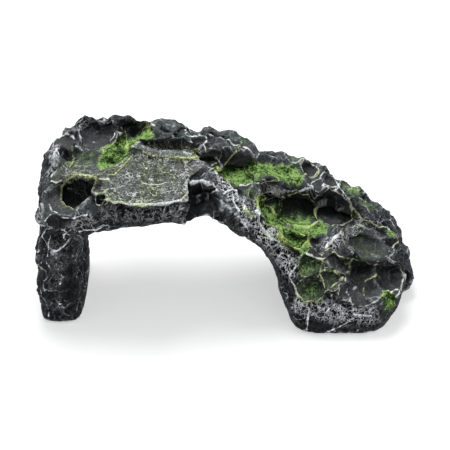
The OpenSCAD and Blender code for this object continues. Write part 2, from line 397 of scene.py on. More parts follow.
FLANK_RIDGES = (
    (0.0, 1.0, (48, 29, 82), (50, 33, 81), (52, 35, 78), (54, 23, 76), (55, 17, 69)),
    (0.0, 0.9, (51, 30, 79), (51, 22, 78), (52, 17, 75), (52, 16, 71), (54, 16, 64), (56, 18, 53)),
    (0.0, 0.7, (48, 56, 79), (50, 40, 82), (51, 36, 80)),
    (0.0, 1.0, (40, 31, 84), (43, 33, 85), (46, 33, 84), (47, 28, 82)),
    (0.0, 1.0, (42, 27, 83), (44, 29, 83), (46, 28, 83)),
    (0.0, 0.9, (71, 69, 63), (77, 77, 60), (80, 79, 55), (81, 90, 54)),
    (0.0, 0.9, (66, 61, 66), (70, 66, 63), (76, 74, 59), (81, 79, 54), (84, 66, 47), (86, 61, 43)),
    (0.0, 1.6, (66, 61, 66), (61, 49, 71), (58, 37, 69), (57, 27, 70), (58, 18, 65), (61, 17, 56)),
    (0.2, 0.9, (64, 54, 67), (60, 45, 66), (58, 30, 68), (59, 21, 65)),
    (0.3, 0.9, (59, 17, 60), (64, 18, 56), (67, 20, 50), (70, 16, 48), (74, 15, 44)),
    (1.0, 0.8, (61, 45, 62), (66, 42, 52), (71, 49, 48), (76, 57, 45)),
    (0.0, 1.5, (86, 61, 43), (83, 54, 43), (78, 35, 47), (75, 22, 47)),
)
FOOT_RIDGES = (
    (0.6, 0.8, (74, 15, 44), (77, 22, 44), (81, 21, 39), (89, 33, 31), (94, 39, 20)),
    (0.9, 0.8, (74, 14, 44), (73, 10, 37), (74, 7, 29), (73, 4, 23), (70, 3, 21), (68, 5, 24)),
    (0.8, 0.8, (74, 11, 38), (77, 11, 36), (78, 8, 34), (74, 6, 26)),
    (0.9, 0.8, (81, 21, 39), (80, 13, 37), (78, 8, 34)),
    (0.0, 0.9, (67, 18, 50), (67, 13, 40), (65, 11, 32), (68, 5, 24)),
    (0.6, 0.9, (86, 61, 43), (92, 63, 34), (94, 55, 27), (92, 41, 29)),
    (0.9, 0.8, (89, 24, 31), (88, 21, 27), (86, 17, 28), (85, 4, 23)),
    (0.0, 0.9, (79, 8, 34), (81, 3, 21), (82, 2, 14), (86, 2, 12)),
    (0.0, 0.9, (95, 38, 15), (96, 36, 10), (93, 20, 17), (91, 15, 19)),
    (0.0, 0.6, (68, 4, 20), (70, 2, 14), (73, 1, 11), (75, 1, 16), (77, 3, 19)),
    (0.0, 0.6, (75, 0, 2), (78, 0, 5), (81, 1, 9), (80, 1, 14), (77, 3, 19)),
    (0.0, 0.8, (70, 2, 15), (70, 2, 8), (70, 2, 0)),
)
RIDGES = LEFT_RIDGES + CROWN_RIDGES + FLANK_RIDGES + FOOT_RIDGES

# Gaps between layers of the rock, painted black inside as painted shade: width and depth in millimetres, and
# points in percent
GAPS = (
    (1.0, 1.2, (24, 58, 91), (29, 54, 90), (36, 49, 90), (40, 50, 90)),
    (3.0, 4.0, (28, 69, 95), (33, 63, 95), (37, 62, 94)),
    (1.4, 1.8, (29, 84, 92), (30, 70, 96)),
    (1.1, 1.6, (32, 85, 94), (36, 83, 91), (38, 89, 90), (42, 93, 86)),
    (1.0, 1.2, (45, 88, 89), (50, 85, 86)),
    (0.8, 1.2, (9, 71, 91), (11, 65, 89), (13, 56, 87)),
    (1.8, 2.4, (48, 48, 83), (50, 43, 81), (53, 37, 77)),
    (1.4, 1.8, (39, 34, 88), (40, 34, 85)),
    (2.2, 2.4, (40, 28, 83), (41, 18, 78)),
    (1.3, 1.6, (20, 12, 79), (28, 8, 79), (33, 10, 80)),
    (1.3, 2.5, (41, 29, 83), (46, 30, 82)), (1.6, 2.5, (42, 24, 83), (47, 24, 81)),
    (1.5, 1.8, (65, 48, 57), (68, 49, 50)),
    (1.3, 1.6, (70, 56, 57), (72, 53, 51)),
)

# Smooth bowls that meet in sharp ridges: radius and added depth in millimetres, how lime and how bright
# the paint on their rim is, and the centre in percent
BOWLS = (
    (15, 1.2, 0.1, 0.6, (8, 21, 81)), (13, 1.8, 0.0, 0.7, (15, 78, 95)), (12, 0.8, 0.8, 0.2, (14, 49, 90)),
    (13, 3.6, 0.8, 0.5, (51, 60, 82)), (14, 1.6, 0.5, 0.5, (63, 38, 65)),
    (13, 2.4, 0.9, 1.0, (70, 49, 58)), (13, 3.4, 0.5, 0.8, (79, 60, 53)), (10, 3.4, 0.8, 1.0, (67, 25, 56)),
    (8.5, 1.0, 0.5, 0.7, (71, 12, 43)), (8.5, 1.0, 0.6, 0.7, (77, 16, 41)),
    (7.5, 1.0, 0.8, 0.7, (76, 8, 34)), (9, 1.0, 0.5, 0.6, (71, 6, 28)), (17, 5.2, 0.4, 0.6, (86, 39, 40)),
    (15, 6.2, 0.1, 0.7, (84, 11, 31)), (11, 6.2, 0.3, 0.8, (91, 19, 27)), (12, 3.0, 0.0, 0.4, (44, 20, 82)),
    (7, 1.6, 0.4, 0.8, (72, 84, 66)), (6, 1.4, 0.2, 0.8, (75, 73, 62)), (7, 1.6, 0.0, 0.8, (78, 80, 60)),
    (6, 1.2, 0.3, 0.7, (67, 88, 69)), (8, 1.4, 0.0, 0.8, (6, 17, 60)), (8, 1.2, 0.0, 0.5, (5, 12, 38)),
    (7, 1.0, 0.0, 0.5, (8, 12, 22)), (9, 1.4, 0.0, 0.5, (73, 2, 8)), (6, 1.4, 0.0, 0.6, (68, 5, 14)),
    (8, 1.2, 0.0, 0.6, (80, 3, 6)), (10, 1.2, 0.1, 0.5, (6, 70, 92)),
)

# Pits with steep walls, painted black inside as painted shade, some of them inside a bowl: the same numbers
PITS = (
    (13, 5.0, 0.9, 1.0, (12, 28, 82)), (3.5, 2.0, 0.4, 0.8, (18, 17, 84)),
    (9.5, 4.0, 0.3, 0.7, (44, 69, 86)), (5.5, 2.4, 0.1, 0.8, (42, 83, 88)),
    (5, 2.4, 0.2, 0.6, (66, 13, 49)), (5, 2.5, 0.0, 0.3, (98, 37, 15)), (5, 1.6, 0.0, 0.4, (65, 55, 66)),
)

# Broad hollows that hold several bowls: width and depth in millimetres, and points in percent
TROUGHS = (
    (17, 4.5, (63, 42, 65), (71, 52, 59), (80, 62, 53)),
    (13, 2.5, (50, 54, 82), (55, 58, 79)),
    (9, 3.0, (43, 26, 83), (44, 16, 80)),
)

# Overhanging lips above hollows: width and push in millimetres, and points in percent
LIPS = (
    (7, 1.4, (64, 60, 66), (70, 66, 63), (74, 71, 60)),
    (5, 1.5, (50, 72, 85), (54, 78, 81)),
    (5, 2.0, (80, 20, 39), (86, 28, 34), (93, 34, 28)),
)

# Painted shade: faces painted black where shade falls, under lips and overhangs and at the tops of hollows:
# width in millimetres, strength, and points in percent
SHADES = (
    (11, 1.0, (10, 29, 84), (14, 27, 84)),
    (13, 0.8, (43, 22, 82), (44, 14, 78)),
    (14, 1.0, (61, 53, 68), (65, 55, 65), (71, 58, 61), (77, 64, 57), (82, 64, 51)),
    (5, 0.8, (83, 60, 45), (87, 60, 41), (91, 58, 35)),
    (6, 1.0, (27, 73, 94), (30, 71, 94), (34, 67, 94), (38, 64, 93), (41, 60, 92)),
    (8, 0.8, (76, 60, 55), (82, 62, 50)),
    (5, 0.9, (65, 15, 52), (67, 15, 49)),
    (9, 1.0, (43, 70, 87), (46, 70, 85)),
    (11, 1.0, (49, 68, 84), (53, 70, 81)),
    (7, 0.4, (18, 13, 78), (28, 8, 76), (38, 12, 75)),
    (9, 1.0, (81, 19, 38), (87, 26, 32), (93, 31, 27)),
    (6, 0.9, (8, 56, 92), (9, 62, 91)),
    (9, 1.0, (22, 84, 94), (26, 90, 94)), (4, 0.7, (20, 58, 88), (22, 68, 88)),
    (5, 0.9, (97, 34, 18), (98, 38, 14)),
    (8, 0.6, (12, 90, 97), (17, 88, 97)),
    (5, 0.8, (67, 30, 58), (70, 28, 55)),
    (10, 0.5, (12, 14, 30), (12, 14, 8)),
)

# Shallow hollows, and bumps where the depth is negative: radius and depth in millimetres, and the centre
DENTS = (
    (5.5, 1.8, (13, 85, 94)), (5.0, 2.0, (17, 87, 96)), (6.0, 1.6, (16, 84, 91)), (6.0, 4.5, (23, 85, 94)),
    (3.0, 2.5, (21, 71, 88)), (2.6, 2.4, (20, 45, 89)), (6.0, 1.6, (8, 56, 92)), (4.0, 1.4, (11, 13, 59)),
    (4.0, 1.0, (10, 14, 22)), (5.0, 1.4, (39, 66, 95)), (5.0, 0.9, (53, 22, 76)), (4.5, 1.2, (59, 76, 75)),
    (4.0, 1.2, (65, 82, 71)), (4.5, 2.2, (64, 49, 66)), (6.0, 2.2, (69, 57, 61)), (5.0, 1.8, (74, 60, 58)),
    (5.0, 1.6, (81, 66, 51)), (4.0, 1.6, (73, 26, 50)), (4.5, 1.4, (66, 7, 22)), (5.0, 1.2, (95, 52, 25)),
    (11, -1.8, DIMPLE), (14, 7.0, (60, 92, 77)), (13, -3.0, (69, 92, 68)), (8, -3.5, (27, 96, 93)),
)

# Green airbrush on the rock: radius in millimetres, strength, and the centre in percent
GREENS = (
    (13, 0.3, (13, 57, 88)), (7, 0.8, (27, 91, 91)), (9, 0.9, (19, 66, 89)), (5, 0.6, (18, 57, 86)),
    (3, 0.8, (41, 56, 94)), (5, 0.6, (54, 89, 83)), (12, 1.0, (52, 62, 77)), (11, 0.9, (61, 71, 70)),
    (8, 0.5, (67, 78, 67)), (7, 0.45, (69, 88, 68)), (8, 0.4, (56, 37, 74)), (6, 0.5, (55, 20, 72)),
    (9, 1.0, (61, 39, 57)), (8, 0.6, (69, 53, 54)), (5, 0.8, (75, 57, 49)), (10, 0.8, (67, 28, 53)),
    (8, 0.35, (74, 44, 46)), (10, 0.5, (70, 14, 40)), (10, 0.5, (71, 9, 26)), (7, 0.4, (76, 11, 34)),
    (15, 0.25, (86, 41, 35)), (5, 0.8, (84, 24, 37)), (5, 0.6, (93, 59, 31)), (5, 0.7, (80, 18, 39)),
    (10, 0.45, (84, 84, 52)), (9, 0.4, (88, 76, 44)), (4, 0.8, (84, 64, 45)), (8, 0.2, (83, 16, 31)),
    (4, 1.0, (90, 10, 19)), (3, 0.9, (36, 67, 95)), (5, 0.4, (9, 24, 77)), (6, 0.4, (51, 65, 83)),
    (6, 0.35, (9, 53, 89)), (6, 0.3, (29, 90, 95)),
)

# Holes in the moss: radius in millimetres, strength, and the centre in percent
MOSS_HOLES = (
    (18, 1, (62, 56, 68)), (10, 1, (68, 60, 62)), (8, 1, (73, 62, 57)), (9, 1, (69, 51, 55)),
    (5, 1, (73, 50, 50)), (4, 1, (66, 36, 56)), (10, 1, (24, 86, 93)), (3, 1, (21, 70, 88)),
    (5, 1, (21, 55, 88)), (5, 1, (50, 66, 82)),
)

# Where the paint is a fine network of lines: width in millimetres, strength, and points in percent
NETWORKS = (
    (9, 1.0, (48, 40, 82), (52, 26, 78), (55, 17, 68)),
    (9, 1.0, (59, 17, 62), (63, 17, 52), (65, 12, 38)),
    (7, 0.9, (57, 27, 70), (59, 42, 70), (64, 56, 68)),
    (7, 0.8, (76, 24, 47), (81, 42, 46), (86, 60, 43)),
    (9, 0.7, (68, 4, 18), (76, 1, 14), (86, 2, 12)),
    (6, 0.8, (4, 45, 86), (5, 52, 93), (4, 70, 88)),
    (7, 0.5, (10, 82, 97), (14, 91, 99)),
    (6, 0.6, (24, 72, 87), (28, 86, 92)),
    (8, 0.15, (6, 12, 52), (6, 12, 30)),
    (8, 0.35, (15, 11, 72), (12, 12, 68)), (8, 0.35, (20, 11, 78), (29, 8, 77), (38, 12, 76)),
)


# ---------------------------------------------------------------- the rock

def cad_copy(node):
    """A merged copy of a CAD node's mesh."""
    work = bmesh.new()
    work.from_mesh(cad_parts[node].data)
    bmesh.ops.remove_doubles(work, verts=work.verts, dist=0.01 * MM)
    mesh = bpy.data.meshes.new(node)
    work.to_mesh(mesh)
    work.free()
    return mesh


def plate_tops():
    """The flat tops of the two plates on the crown: a tree of their faces, the edges round them, the way
    they face, and how far along that way the lower one is."""
    work = bmesh.new()
    work.from_mesh(cad_copy("rock_arch"))
    rising = [face for face in work.faces if face.normal.z > 0.9]
    biggest = max(rising, key=lambda face: face.calc_area())
    tops = [face for face in rising if face.normal.dot(biggest.normal) > 0.99999]
    counts = {}
    for face in tops:
        for edge in face.edges:
            counts.setdefault(edge.index, []).append(tuple(np.array(v.co) for v in edge.verts))
    border = [ends[0] for ends in counts.values() if len(ends) == 1]
    normal = np.array(biggest.normal)
    level = min(normal @ np.array(face.calc_center_median()) for face in tops)
    corners = [v.co.copy() for face in tops for v in face.verts]
    tree = BVHTree.FromPolygons(corners, [(i, i + 1, i + 2) for i in range(0, len(corners), 3)])
    work.free()
    return tree, border, normal, level


def remeshed(mesh, voxel):
    holder = new_piece("remesh", mesh)
    modifier = holder.modifiers.new("remesh", "REMESH")
    modifier.mode, modifier.voxel_size = "VOXEL", voxel
    out = bpy.data.meshes.new_from_object(holder.evaluated_get(bpy.context.evaluated_depsgraph_get()))
    bpy.data.objects.remove(holder)
    return out


def bulge(smoother, co, no, rounds):
    """How far each point stands out of its averaged surroundings, in millimetres: negative in hollows."""
    return np.einsum("ij,ij->i", co - smoother.spread(co, rounds), no) / MM


def distance_to(node, co):
    """Distance from each point to a CAD node's surface, in millimetres."""
    spots = positions(remeshed(cad_copy(node), 0.7 * MM))
    tree = KDTree(len(spots))
    for i, spot in enumerate(spots):
        tree.insert(spot, i)
    tree.balance()
    return np.array([tree.find(p)[2] for p in co]) / MM


# Cells of the cast relief: their size in millimetres, how much their edges wander and a seed
SCALLOPS = (15, 17)
POCKS = (6.5, 8, 1.0)

# Heights and depths of the relief, in millimetres
SWELL = 4.0
BROAD_HEIGHT = 0.9
LUMP_HEIGHT = 0.8
SCALLOP_DEPTH, SCALLOP_CREST = 1.8, 0.5
POCK_DEPTH = 0.9
RIM_HEIGHT = 0.6
RIDGE_HEIGHT = 0.6

# How far drawn lines wander, and how far the lines round the CAD's plates do, in millimetres
WANDER = 1.8
PLATE_WANDER = 0.4

# How wide the painted rim of a bowl is, and how far a dull rim's paint stays off it, in millimetres
PAINTED_RIM = 0.9
DULL = 1.2

# How far from the level of the plates the crown goes, in millimetres
CROWN_BAND = 5


def crown(ground, rest, no, sway):
    """What each point has of the crown's plates, how far the plates move it, and the lines round them."""
    tops, border, facing, level = plate_tops()
    above = (rest @ facing - level) / MM
    on_crown = (np.abs(above) < CROWN_BAND) & (no[:, 2] > -0.2)
    slab, block, behind = (
        np.where(on_crown, outline(ground.co, corners), -FAR) for corners in (SLAB, BLOCK, BEHIND)
    )
    step = (SLAB_STEP - above) * smoothstep(-0.5, 0.5, slab)
    step -= (BLOCK_DROP + above) * smoothstep(-1.5, 0.5, block) * (above < -BLOCK_DROP)

    touch = 2 * MM
    plate = np.array([tops.find_nearest(Vector(p), touch)[3] or touch for p in rest]) / MM
    plate = np.maximum(smoothstep(1.6, 0.7, plate), ground.spot(DIMPLE, DIMPLE_RADIUS, 0.2))
    plate = np.maximum(plate, 0.8 * ground.band(PLATE_EDGE, 15, 0.5))
    plate = np.maximum(plate * (1 - smoothstep(-1.5, 0, behind)), smoothstep(-0.8, 0, slab))

    dimple = ground.on_rock(DIMPLE)
    border = [ends for ends in border if np.linalg.norm(ends[0] - dimple) > DIMPLE_RADIUS * MM]
    middles = np.array([(start + end) / 2 for start, end in border])
    border = [ends for ends, inside in zip(border, outline(middles, NO_EDGE)) if inside < 0]
    wandering, ground.co = ground.co, rest + PLATE_WANDER * MM * sway
    round_plates = ground.segments(border, REACH)
    ground.co = wandering
    to_right = smoothstep(place(24, 0, 0)[0], place(28, 0, 0)[0], rest[:, 0])
    to_back = smoothstep(place(0, 35, 0)[1], place(0, 55, 0)[1], rest[:, 1])
    ridges = [
        (0.9 * to_right, 0.6, np.abs(slab - 0.2) + 3 * smoothstep(-1.0, 0.5, behind)),
        (0.8 * to_back, 1.0, round_plates),
    ]
    return plate, facing * step[:, None], ridges


def cast_relief(rest, calm, hollow, plate, network):
    """The height of the cast surface in millimetres: swells, lumps, scallops, pocks and grain."""
    rough = (1 - 0.85 * hollow) * (1 - 0.85 * plate) * calm
    scallop, pocks = sample_edges(rest, *SCALLOPS), sample_edges(rest, *POCKS)
    patchy = smoothstep(-0.20, 0.35, sample_noise(rest, 12, seed=3.0))
    height = BROAD_HEIGHT * (1 - 0.6 * plate) * sample_noise(rest, 26, 2, seed=5.0)
    height += rough * LUMP_HEIGHT * sample_noise(rest, 9, 4, 0.55, seed=7.0)
    height += rough * (SCALLOP_CREST * crest(scallop, 0.9) - SCALLOP_DEPTH * smoothstep(0, 5.5, scallop))
    height -= rough * POCK_DEPTH * smoothstep(0, 2.2, pocks) * patchy
    return height + (0.25 * rough + 0.45 * network) * sample_noise(rest, 2.5, 3, 0.6, seed=9.0)


def sculpted_rock():
    """The rock's mesh with its relief, how near each point is to each moss, and how black its painted shade
    is.
    """
    mesh = remeshed(cad_copy("rock_arch"), VOXEL)
    smoother = Smoother(mesh)
    rest = smoother.spread(positions(mesh), 5)
    set_positions(mesh, rest)
    no = normals(mesh)
    ground = Ground(mesh, rest)

    # The drawn features, on lines that wander a little
    sway = sample_vectors(rest, 4, 4, 0.6, seed=31.0)
    ground.co = rest + WANDER * MM * sway
    inside, radius, depth, lime, bright = ground.bowls(BOWLS)
    in_pit, _, pit_depth, pit_lime, pit_bright = ground.bowls(PITS)
    plate, step, plate_ridges = crown(ground, rest, no, sway)
    ridges = [(lime, width, ground.line(stops)) for lime, width, *stops in RIDGES] + plate_ridges
    ridges.append((lime, PAINTED_RIM, np.abs(inside) + DULL * (1 - bright)))
    ridges.append((pit_lime, PAINTED_RIM, np.abs(in_pit) + DULL * (1 - pit_bright)))
    drawn = np.max([crest(away, width) for _, width, away in ridges], axis=0)
    drawn_lime = np.max([lime * crest(away, 2.5 * width) for lime, width, away in ridges], axis=0)
    nearest = np.min([away / width for _, width, away in ridges], axis=0)
    nearest += 0.8 * sample_noise(rest, 2.2, 3, 0.7, seed=35.0)
    gap = np.max([depth * crest(ground.line(stops), width) for width, depth, *stops in GAPS], axis=0)
    dent = np.sum([depth * ground.spot(centre, radius, 1.0) for radius, depth, centre in DENTS], axis=0)
    trough, lip = ground.bands(TROUGHS, 0.7), ground.bands(LIPS, 1.0)
    network = ground.bands(NETWORKS, 0.7)

    # What the paint and the moss do at each point; the shade is painted shade, in the shaded bands and
    # inside the pits
    shade = np.maximum(ground.bands(SHADES, 0.5), 0.9 * smoothstep(0, 2.5, in_pit))
    pale = ground.spots(PALES, 1.2, 0.7)
    near = {node: distance_to(node, rest) for node in MOSS_NODES}
    moss = np.min(list(near.values()), axis=0)
    holes = ground.spots(MOSS_HOLES, 1.0, 0.6)
    mossy = (1 - smoothstep(0.5, 6.0, moss)) * (1 - 0.9 * holes)
    green = np.clip(np.maximum(ground.spots(GREENS, 1.3, 0.8), mossy), 0, 1)

    # The relief, which fades out towards the soles of the feet
    hollow = smoothstep(-0.3, 2.0, np.maximum(inside, in_pit))
    rim = smoothstep(0.07, 0.30, bulge(smoother, rest, no, 8))
    calm = 1 - 0.6 * smoothstep(0.1, -0.5, no[:, 2])
    height = cast_relief(rest, calm, hollow, plate, network)
    height += RIM_HEIGHT * rim + RIDGE_HEIGHT * drawn - gap - dent
    height *= 1 - 0.6 * smoothstep(3.0, 0.5, moss)
    height -= depth * smoothstep(-0.5, 0.6 * radius, inside) + pit_depth * smoothstep(-0.5, 4.0, in_pit)
    height -= trough
    swell = SWELL * ((1 - 0.7 * plate) * calm)[:, None] * sample_vectors(rest, 13, 3, 0.6, seed=36.0)
    push = no * height[:, None] + lip[:, None] * np.array((0, -1, -0.5)) + swell + step
    standing = smoothstep(0.003, 0.010, rest[:, 2])
    co = smoother.spread(rest + push * (standing * MM)[:, None], 1)
    set_positions(mesh, co)
    no = normals(mesh)

    # Painted shade: hollow crevices between bulges are painted black, less so inside bowls
    ledge = bulge(smoother, co, no, 12)
    # How far each face looks up, used to paint faces that look up lighter as painted light
    up = smoother.spread(no[:, 2], 2)
    # Painted shade: the upper walls of the bowls, which face down more than their surroundings, are painted
    # black
    upper_wall_shade = smoothstep(0.05, 0.45, smoother.spread(no[:, 2], 60) - up)
    layers = {
        "rest": rest / MM, "ridge": nearest, "ridge_lime": drawn_lime, "rim": rim,
        "edge": smoothstep(0.02, 0.40, ledge), "crevice_shade": smoothstep(0.05, 0.55, -ledge) * (1 - 0.8 * hollow),
        "upper_wall_shade": upper_wall_shade * smoothstep(0, 1, inside), "gap": np.clip(gap, 0, 1), "network": network,
        "plate": plate, "hollow": hollow, "shade": shade, "pale": pale, "up": up, "green": green,
    }
    for name, values in layers.items():
        store(mesh, name, values)
    bare = 6 * holes + 3 * crest(np.clip(nearest, 0, None), 0.9)
    return mesh, {node: away + bare for node, away in near.items()}, shade


# ---------------------------------------------------------------- the moss

# How far the moss reaches past the CAD's patch, and the gap under it, in millimetres
MOSS_EDGE = 0.9
MOSS_GAP = 0.03


def moss_piece(node, rock, away, shade, material):
    """A closed, velvety patch that follows the rock where the CAD has its moss."""
    co, no = positions(rock), normals(rock)
    ragged = away + 3.2 * sample_noise(co, 5, 4, 0.65, seed=41.0) + 0.8 * sample_noise(co, 1.5, 2, seed=42.0)
    inside = ragged < MOSS_EDGE
    taper = smoothstep(MOSS_EDGE, 0.0, ragged)
    tufts = 0.35 * sample_noise(co, 1.8, 3, 0.7, seed=43.0) + 0.2 * sample_noise(co, 6, 2, seed=44.0)
    pile = 0.25 + taper * (0.55 + tufts)
    faces = np.array([p.vertices[:] for p in rock.polygons if len(p.vertices) == 4])
    faces = faces[inside[faces].all(1)]
    used, faces = np.unique(faces, return_inverse=True)
    faces = faces.reshape(-1, 4)
    skin = co[used] + no[used] * (np.clip(pile[used], 0.15, 2) * MM)[:, None]
    back = co[used] + no[used] * MOSS_GAP * MM

    directed = np.concatenate([np.stack([faces[:, k], faces[:, (k + 1) % 4]], 1) for k in range(4)])
    both = set(map(tuple, directed))
    border = np.array([pair for pair in directed if (pair[1], pair[0]) not in both])
    count = len(used)
    walls = np.stack([border[:, 1], border[:, 0], border[:, 0] + count, border[:, 1] + count], 1)
    quads = np.concatenate([faces, faces[:, ::-1] + count, walls])
    mesh = bpy.data.meshes.new(node + "_patch")
    mesh.from_pydata(np.concatenate([skin, back]), [], quads.tolist())
    store(mesh, "rest", np.concatenate([skin, back]) / MM)
    # The moss takes the rock's painted shade and how far it faces up, which lightens it as painted light
    store(mesh, "up", np.tile(no[used, 2], 2))
    store(mesh, "shade", np.tile(shade[used], 2))
    work = bmesh.new()
    work.from_mesh(mesh)
    bmesh.ops.split_edges(work, edges=[e for e in work.edges if len(e.link_faces) > 2])
    work.to_mesh(mesh)
    work.free()
    finished_piece(node + "_patch", mesh, material, node)


# ---------------------------------------------------------------- the foam pads

# The foam pad's rounded lower edge and slight waist, and the adhesive sheet on its top
FOAM_ROUND = 0.35 * MM
FOAM_WAIST = 0.12 * MM
FOAM_LIP = 0.05 * MM
FILM = 0.15 * MM
FILM_INSET = 0.2 * MM


def pad_piece(node, material):
    """A die-cut foam disc: a rounded foam edge under a thin sheet of adhesive."""
    low, high = (np.array(corner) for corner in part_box(node))
    centre, radius, thick = (low + high) / 2, (high - low)[0] / 2, high[2] - low[2]
    profile = [(0, 0), (radius * 0.5, 0.03 * MM), (radius - FOAM_ROUND, 0)]
    profile += [
        (radius - FOAM_ROUND * (1 - math.sin(a)), FOAM_ROUND * (1 - math.cos(a)))
        for a in (math.radians(step) for step in (22, 45, 68, 90))
    ]
    profile += [(radius - FOAM_WAIST, thick / 2), (radius, thick - FILM - FOAM_LIP), (radius, thick - FILM)]
    profile += [(radius - FILM_INSET, thick - FILM), (radius - FILM_INSET, thick), (0, thick)]
    work = bmesh.new()
    line = [work.verts.new((r, 0, z)) for r, z in profile]
    edges = [work.edges.new(pair) for pair in zip(line, line[1:])]
    bmesh.ops.spin(work, geom=line + edges, cent=(0, 0, 0), axis=(0, 0, 1), angle=math.tau, steps=48)
    bmesh.ops.remove_doubles(work, verts=work.verts, dist=0.001 * MM)
    bmesh.ops.recalc_face_normals(work, faces=work.faces)
    bmesh.ops.translate(work, verts=work.verts, vec=(centre[0], centre[1], low[2]))
    mesh = bpy.data.meshes.new(node + "_foam")
    work.to_mesh(mesh)
    work.free()
    store(mesh, "rest", positions(mesh) / MM)
    finished_piece(node + "_foam", mesh, material, node)


# ---------------------------------------------------------------- materials

def new_material(name):
    material = bpy.data.materials.new(name)
    material.use_nodes = True
    tree = material.node_tree
    return material, tree, tree.nodes["Principled BSDF"]


def attribute(tree, name, output="Fac"):
    node = tree.nodes.new("ShaderNodeAttribute")
    node.attribute_name = name
    return node.outputs[output]


def mix(tree, factor, a, b, blend="MIX"):
    node = tree.nodes.new("ShaderNodeMix")
    node.data_type, node.blend_type = "RGBA", blend
    link(tree, factor, node.inputs[0])
    link(tree, a, node.inputs[6])
    link(tree, b, node.inputs[7])
    return node.outputs[2]


def times(tree, a, b):
    return math_node(tree, "MULTIPLY", a, b)


def bump(tree, height, distance):
    node = tree.nodes.new("ShaderNodeBump")
    node.inputs["Distance"].default_value = distance
    link(tree, height, node.inputs["Height"])
    return node.outputs[0]


BLACK = (0.0015, 0.002, 0.002, 1)
CHARCOAL = (0.060, 0.067, 0.072, 1)
BOWL_GREY = (0.080, 0.086, 0.086, 1)
PLATE_GREY = (0.063, 0.072, 0.060, 1)
PALE_GREY = (0.105, 0.120, 0.122, 1)
CREST_GREY = (0.15, 0.17, 0.175, 1)
WHITE_PAINT = (0.82, 0.86, 0.88, 1)
LIME_PAINT = (0.55, 0.64, 0.24, 1)
MOSS_DARK = (0.008, 0.018, 0.005, 1)
MOSS_MID = (0.068, 0.126, 0.036, 1)
MOSS_BRIGHT = (0.26, 0.43, 0.13, 1)
FOAM_PORE = (0.008, 0.008, 0.009, 1)
FOAM_SKIN = (0.035, 0.035, 0.038, 1)


def moss_colour(tree, rest):
    """Green that is darker in the painted shade and between tufts, and painted brighter where it faces up,
    as painted light.
    """
    broad = map_range(tree, noise(tree, rest, 7, 4, 0.6, seed=51.0), 0.30, 0.70, 0.25, 0.75)
    fine = map_range(tree, noise(tree, rest, 1.2, 3, 0.7, seed=53.0), 0.35, 0.65, 0.2, 0.8)
    facing = map_range(tree, attribute(tree, "up"), 0.25, 0.95, -0.14, 0.04)
    both = math_node(tree, "ADD", times(tree, broad, 0.55), times(tree, fine, 0.45))
    both = math_node(tree, "ADD", both, math_node(tree, "ADD", facing, 0.05))
    both = math_node(tree, "SUBTRACT", both, times(tree, attribute(tree, "shade"), 0.3))
    low = mix(tree, map_range(tree, both, 0.34, 0.50), MOSS_DARK, MOSS_MID)
    return mix(tree, map_range(tree, both, 0.46, 0.64), low, MOSS_BRIGHT)


def veins(tree, place, size, width, seed):
    """Thin feathery lines, where noise crosses its middle value."""
    away = math_node(tree, "SUBTRACT", noise(tree, place, size, 3, 0.52, seed=seed), 0.5)
    return map_range(tree, math_node(tree, "ABSOLUTE", away), width, 0.4 * width)


def base_coat(tree, rest, mottle):
    """Black painted shade in the gaps, crevices, upper bowl walls and shaded faces, charcoal above, painted
    lighter where it faces up as painted light, and greyer in bowls, on the plates and on crests.
    """
    hollow = attribute(tree, "hollow")
    # Painted light: faces that look up are painted lighter
    lit = map_range(tree, attribute(tree, "up"), 0.15, 0.95, 0.0, 0.9)
    fleck = map_range(tree, noise(tree, rest, 1.3, 3, 0.7, seed=14.0), 0.35, 0.65, -0.40, 0.40)
    fleck = times(tree, fleck, math_node(tree, "SUBTRACT", 1.0, times(tree, hollow, 0.5)))
    tone = math_node(tree, "ADD", times(tree, lit, 0.55), map_range(tree, mottle, 0.35, 0.70, 0.05, 0.45))
    speckle = map_range(tree, noise(tree, rest, 2.2, 4, 0.7, seed=12.0), 0.40, 0.62)
    # Dry-brushed grey on crests, painted stronger where they face up as painted light
    raised = times(tree, times(tree, attribute(tree, "edge"), speckle), math_node(tree, "ADD", lit, 0.15))
    pale = times(tree, attribute(tree, "pale"), math_node(tree, "ADD", mottle, 0.3, clamp=True))
    base = mix(tree, math_node(tree, "ADD", tone, fleck, clamp=True), BLACK, CHARCOAL)
    for share, colour in (
        # Painted light: bowl floors that face up are painted greyer
        (times(tree, times(tree, hollow, 0.7), lit), BOWL_GREY),
        (times(tree, raised, 0.85), CREST_GREY),
        (times(tree, attribute(tree, "plate"), 0.85), PLATE_GREY),
        (pale, PALE_GREY),
        # Painted shade: black in crevices, gaps, upper bowl walls and shaded faces; the networks get a black
        # base
        (times(tree, attribute(tree, "crevice_shade"), 0.7), BLACK),
        (attribute(tree, "gap"), BLACK),
        (times(tree, attribute(tree, "upper_wall_shade"), 0.85), BLACK),
        (times(tree, attribute(tree, "network"), 0.8), BLACK),
        (times(tree, attribute(tree, "shade"), 0.97), BLACK),
    ):
        base = mix(tree, share, base, colour)
    return base


def airbrushed(tree, rest, base):
    """The base with green airbrush on it, broken up by the grain."""
    grain = map_range(tree, noise(tree, rest, 3, 4, 0.65, seed=13.0), 0.30, 0.62)
    patchy = times(tree, attribute(tree, "green"), math_node(tree, "ADD", grain, 0.35))
    # Less green shows in the painted shade
    lit = math_node(tree, "SUBTRACT", 0.9, times(tree, attribute(tree, "shade"), 0.75))
    return mix(tree, times(tree, map_range(tree, patchy, 0.10, 0.85), lit), base, moss_colour(tree, rest))


